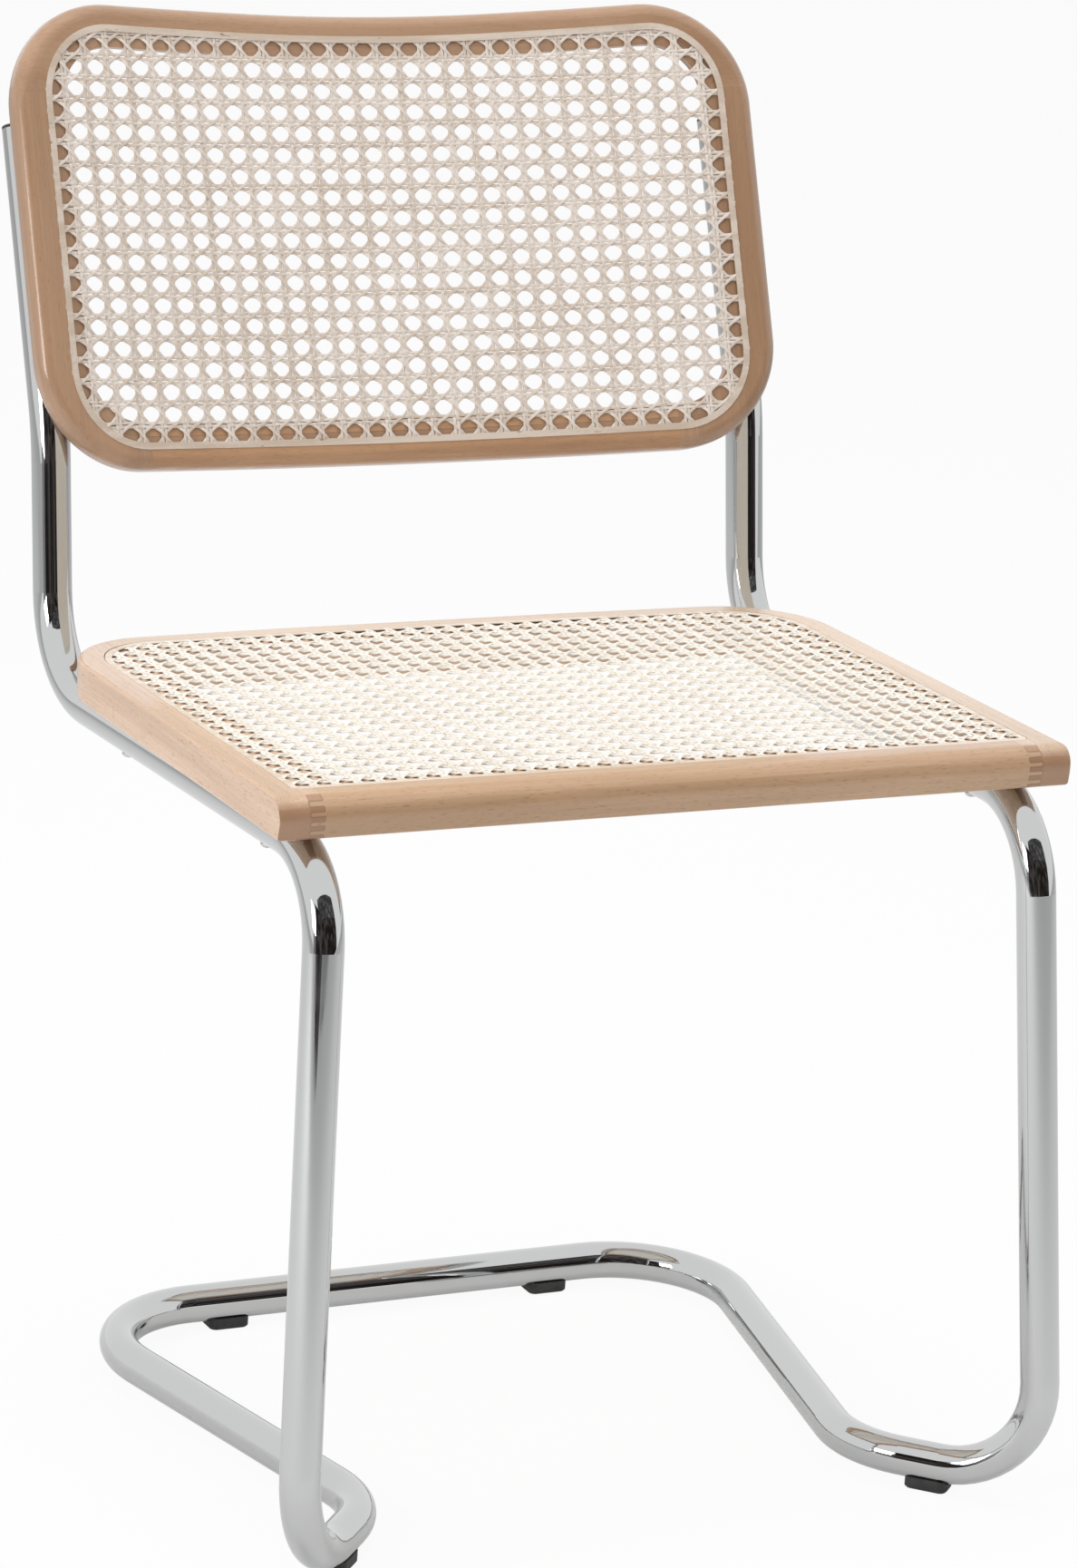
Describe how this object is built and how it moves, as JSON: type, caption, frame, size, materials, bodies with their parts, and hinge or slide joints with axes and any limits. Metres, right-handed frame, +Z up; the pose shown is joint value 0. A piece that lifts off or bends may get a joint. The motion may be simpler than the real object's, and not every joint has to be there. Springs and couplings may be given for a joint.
{
  "type": "cantilever dining chair",
  "caption": "Cantilever dining chair: one bent chromed tube carries a caned beech seat and a raked, curved caned back; no rear legs.",
  "frame": {"origin": "on the floor plane, in the middle of the chair's bounding box seen from above", "axes": "+Z up; the sitter faces -Y and the back leans towards +Y; +X and -X are the chair's two sides, named right and left as the front view shows them"},
  "size_m": [0.513, 0.5812, 0.8225],
  "materials": {
    "chrome_tube": "polished",
    "black_plastic": "satin",
    "seat_beech": "clear satin lacquer",
    "back_beech": "clear satin lacquer",
    "cane": "natural woven cane",
    "rattan_spline": "natural",
    "screw_steel": "plated"
  },
  "bodies": {
    "root": {"tube_frame": "chrome_tube", "left_post_plug": "black_plastic", "right_post_plug": "black_plastic", "front_left_glide": "black_plastic", "front_right_glide": "black_plastic", "rear_left_glide": "black_plastic", "rear_right_glide": "black_plastic", "seat_front_rail": "seat_beech", "seat_rear_rail": "seat_beech", "seat_left_rail": "seat_beech", "seat_right_rail": "seat_beech", "seat_cane": "cane", "seat_spline": "rattan_spline", "back_top_rail": "back_beech", "back_bottom_rail": "back_beech", "back_left_rail": "back_beech", "back_right_rail": "back_beech", "back_cane": "cane", "back_spline": "rattan_spline", "seat_screws": "screw_steel", "back_screws": "screw_steel"}
  },
  "joints": []
}
